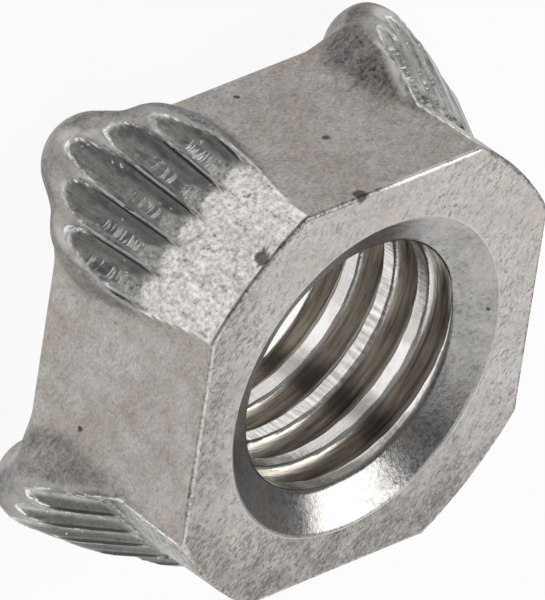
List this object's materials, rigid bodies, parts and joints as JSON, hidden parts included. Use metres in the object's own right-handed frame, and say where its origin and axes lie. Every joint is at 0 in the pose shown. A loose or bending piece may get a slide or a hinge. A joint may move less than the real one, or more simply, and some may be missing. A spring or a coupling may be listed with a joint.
{
  "type": "square weld nut",
  "caption": "Cold-formed square weld nut with a coarse threaded bore and a fluted, rounded weld lug at each corner.",
  "frame": {"origin": "on the bore's axis, level with the tips of the four weld lugs", "axes": "+Z along the bore's axis, out of the front face; X and Y square to the side flats"},
  "size_m": [0.016, 0.016, 0.0085],
  "materials": {
    "steel": "bare cold-formed steel, tumbled, with fine pits and drag marks"
  },
  "bodies": {
    "root": {"weld_nut": "steel"}
  },
  "joints": []
}
